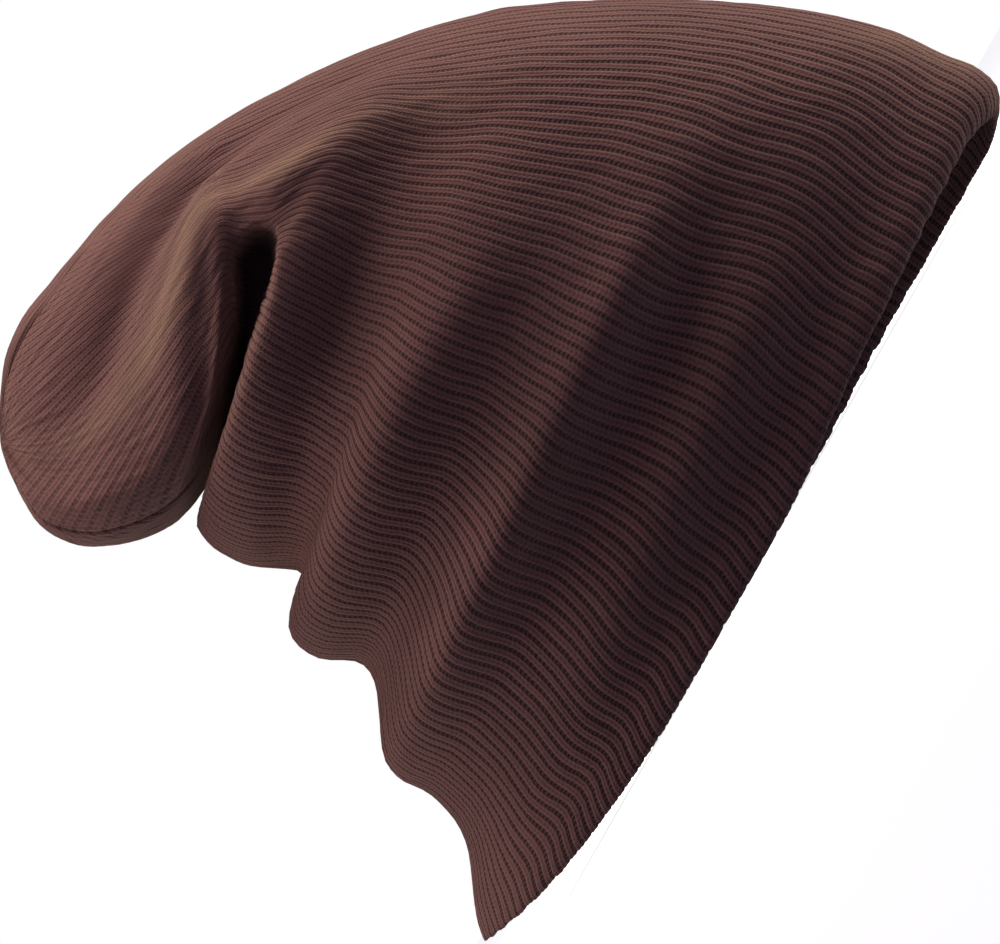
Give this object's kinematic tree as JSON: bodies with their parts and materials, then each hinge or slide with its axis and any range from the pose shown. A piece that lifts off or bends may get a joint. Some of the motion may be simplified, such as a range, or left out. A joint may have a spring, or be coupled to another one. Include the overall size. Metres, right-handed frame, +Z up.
{
  "type": "knit hat",
  "caption": "Slouchy rib-knit hat of doubled cloth with a folded rim, standing on its rim with its loose crown slumped back over a deep side pocket.",
  "frame": {"origin": "centre of the bounding box on the floor plane that the rim rests on", "axes": "+X to the front of the hat, +Z up, -Y the near side of the picture"},
  "size_m": [0.212, 0.1285, 0.1614],
  "materials": {
    "outer_layer": "fine rib knit of dark reddish-brown yarn, matt with a slight fuzz",
    "inner_layer": "the same fine rib knit, seen from its inner side"
  },
  "bodies": {
    "root": {"outer_layer": "outer_layer", "inner_layer": "inner_layer"}
  },
  "joints": []
}
